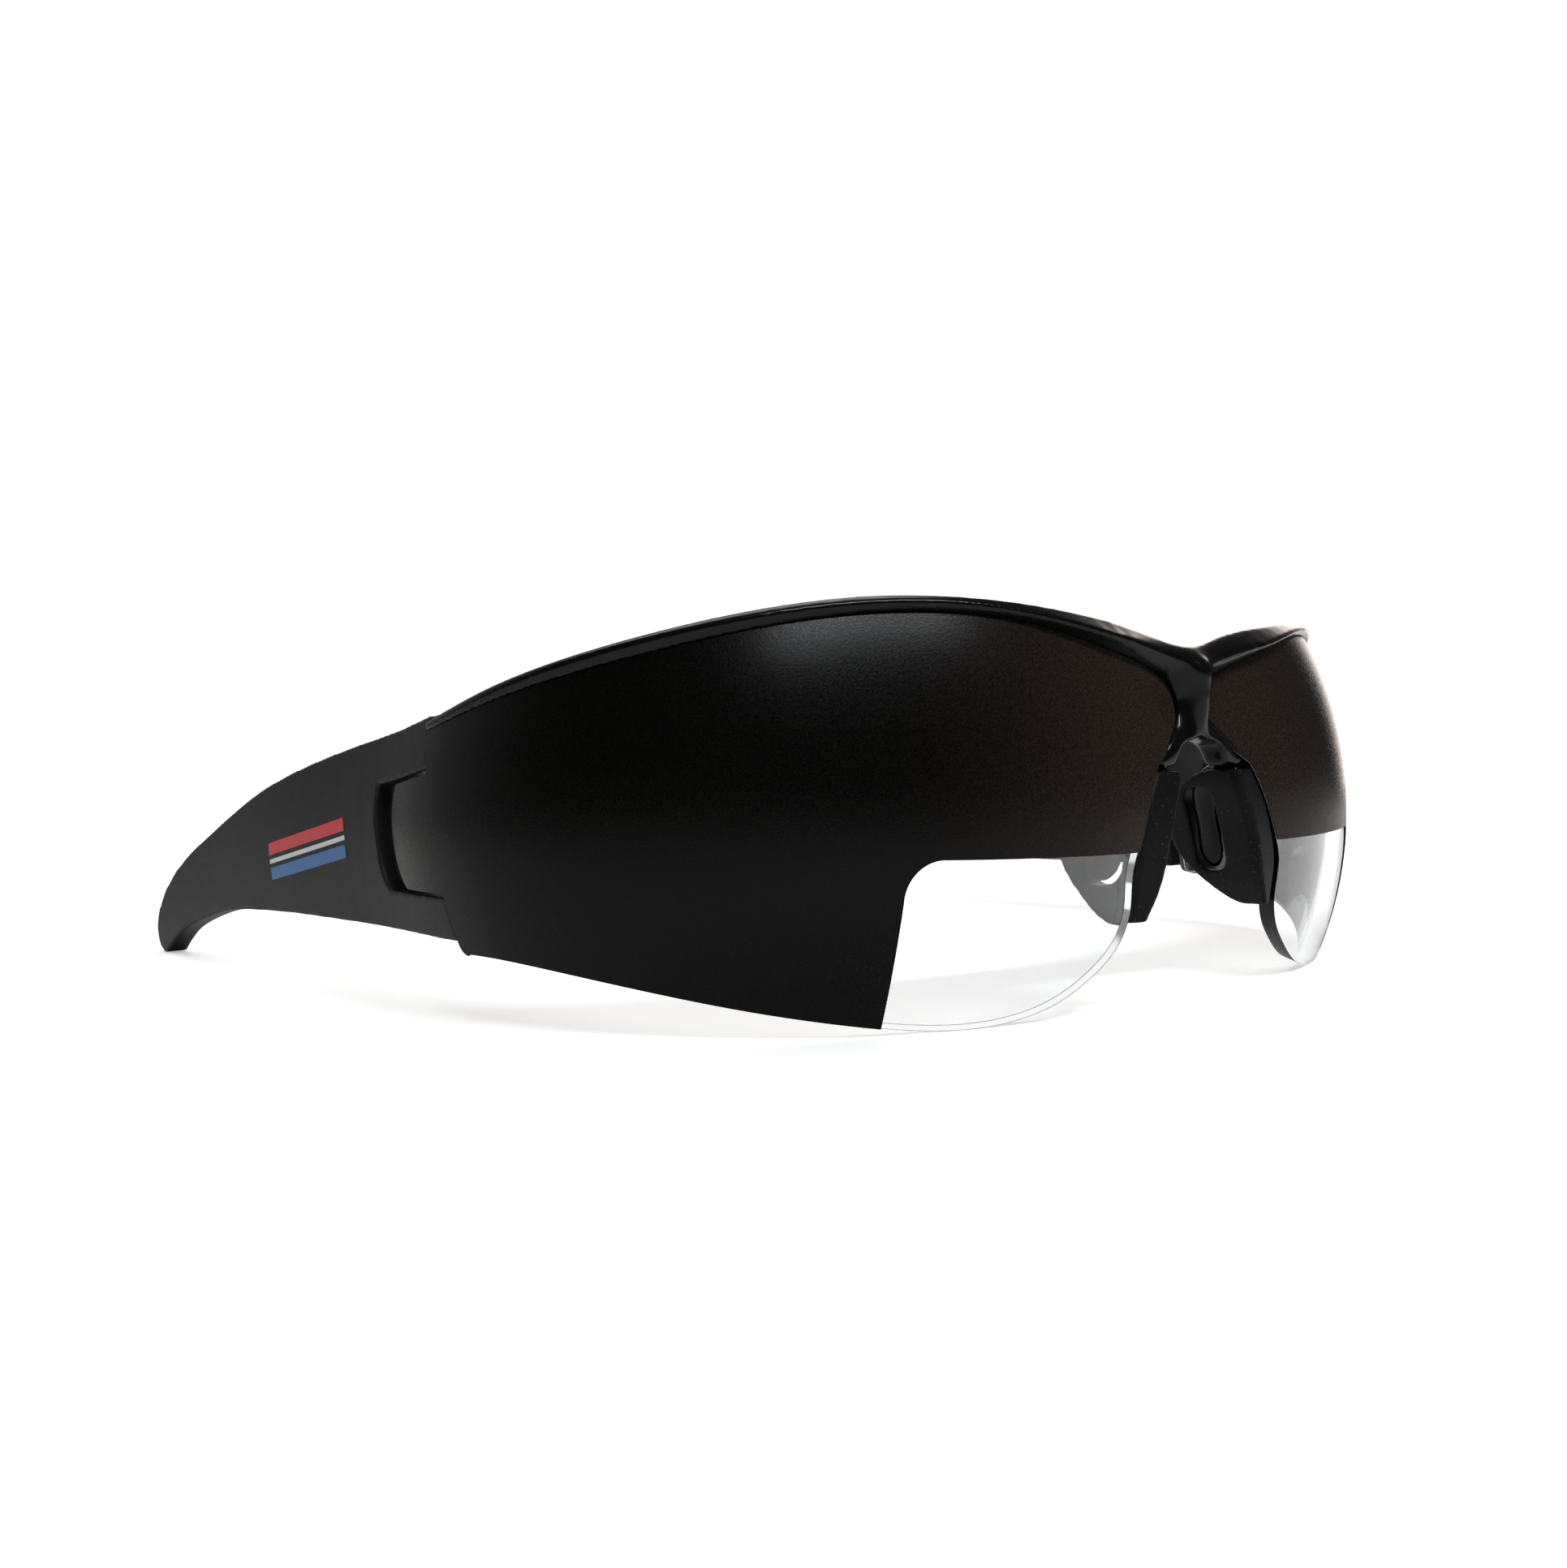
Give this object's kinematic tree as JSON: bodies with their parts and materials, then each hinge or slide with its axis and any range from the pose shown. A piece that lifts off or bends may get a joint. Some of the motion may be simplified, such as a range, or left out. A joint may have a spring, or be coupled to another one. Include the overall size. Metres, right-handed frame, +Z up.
{
  "type": "view limiting training glasses",
  "caption": "Wraparound glasses with folding temples, whose lenses are coated opaque except for a clear window low beside the nose, so the wearer sees only what lies below.",
  "frame": {"origin": "on the surface the glasses stand on, at the middle of their width and length", "axes": "+X to the wearer's left, +Y from the lenses back to the ear tips, +Z up"},
  "size_m": [0.142, 0.1584, 0.0458],
  "materials": {
    "frame_nylon": "glossy moulded",
    "lens_clear": "clear polished polycarbonate",
    "mask_coat": "fine grained matte coat",
    "pad_rubber": "matte",
    "temple_nylon": "fine grained matte",
    "screw_steel": "turned"
  },
  "bodies": {
    "front": {"frame_front": "frame_nylon", "lens_left": "lens_clear", "lens_right": "lens_clear", "mask_left": "mask_coat", "mask_right": "mask_coat", "nose_pad_left": "pad_rubber", "nose_pad_right": "pad_rubber", "hinge_screw_left": "screw_steel", "hinge_screw_right": "screw_steel"},
    "left_temple": {"temple_left": "temple_nylon"},
    "right_temple": {"temple_right": "temple_nylon"}
  },
  "joints": [
    {"name": "left_temple_fold", "type": "hinge", "parent": "front", "child": "left_temple", "pos_m": [0.06596, -0.01917, 0.02132], "axis": [0, 0, 1], "range_deg": [0, 85]},
    {"name": "right_temple_fold", "type": "hinge", "parent": "front", "child": "right_temple", "pos_m": [-0.06596, -0.01917, 0.02132], "axis": [0, 0, -1], "range_deg": [0, 93]}
  ]
}
